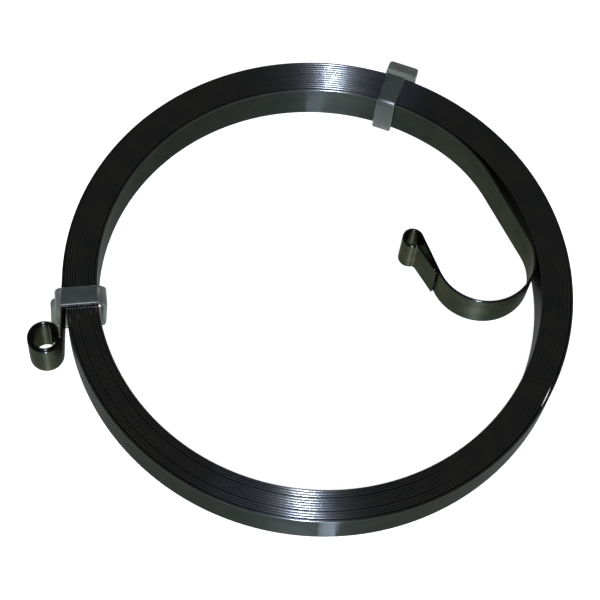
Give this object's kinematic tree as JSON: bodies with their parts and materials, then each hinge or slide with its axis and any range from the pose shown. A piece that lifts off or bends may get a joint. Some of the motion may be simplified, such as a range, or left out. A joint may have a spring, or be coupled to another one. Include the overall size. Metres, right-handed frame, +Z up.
{
  "type": "recoil starter spring",
  "caption": "Flat spiral spring of dark steel strip wound into a ring, with a rolled eye at its outer end and a curled, folded hook at its inner end, held wound by nylon ties.",
  "frame": {"origin": "on the axis of the wound coil, in the plane that the ties rest on", "axes": "+Z up along the coil's axis, the inner hook lies on the +X side and the outer eye on the -X side"},
  "size_m": [0.1291, 0.1281, 0.0136],
  "materials": {
    "spring_steel": "blued, lightly oiled",
    "natural_nylon": "translucent, moulded"
  },
  "bodies": {
    "root": {"spring_strip": "spring_steel", "upper_tie": "natural_nylon", "left_tie": "natural_nylon"}
  },
  "joints": []
}
